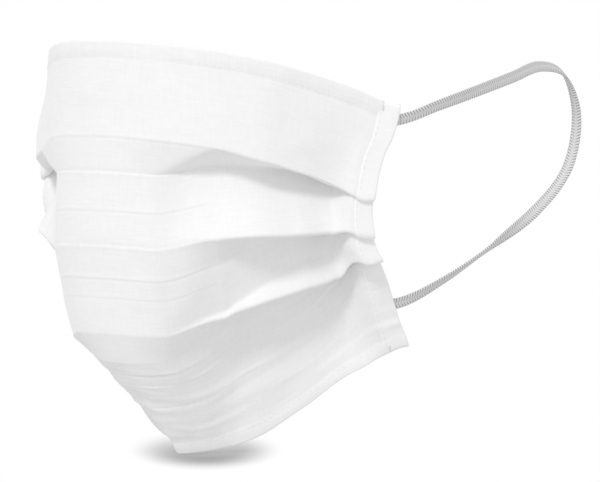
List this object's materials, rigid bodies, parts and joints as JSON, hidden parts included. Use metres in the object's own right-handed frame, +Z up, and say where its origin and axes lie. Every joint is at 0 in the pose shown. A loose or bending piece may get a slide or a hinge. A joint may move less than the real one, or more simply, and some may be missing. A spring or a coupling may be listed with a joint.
{
  "type": "pleated cloth face mask",
  "caption": "White cotton face mask in its worn form, with open pleats, stitched hems and flat elastic ear loops.",
  "frame": {"origin": "where the top edge sits on the bridge of the nose, at the middle of the top hem", "axes": "+Z up, -Y out of the face, +X to the wearer's left"},
  "size_m": [0.1798, 0.1685, 0.1523],
  "materials": {
    "white_cotton": "matte",
    "grey_elastic": "matte"
  },
  "bodies": {
    "root": {"pleated_panel": "white_cotton", "top_hem": "white_cotton", "bottom_hem": "white_cotton", "side_hem_left": "white_cotton", "side_hem_right": "white_cotton", "ear_loop_left": "grey_elastic", "ear_loop_right": "grey_elastic"}
  },
  "joints": []
}
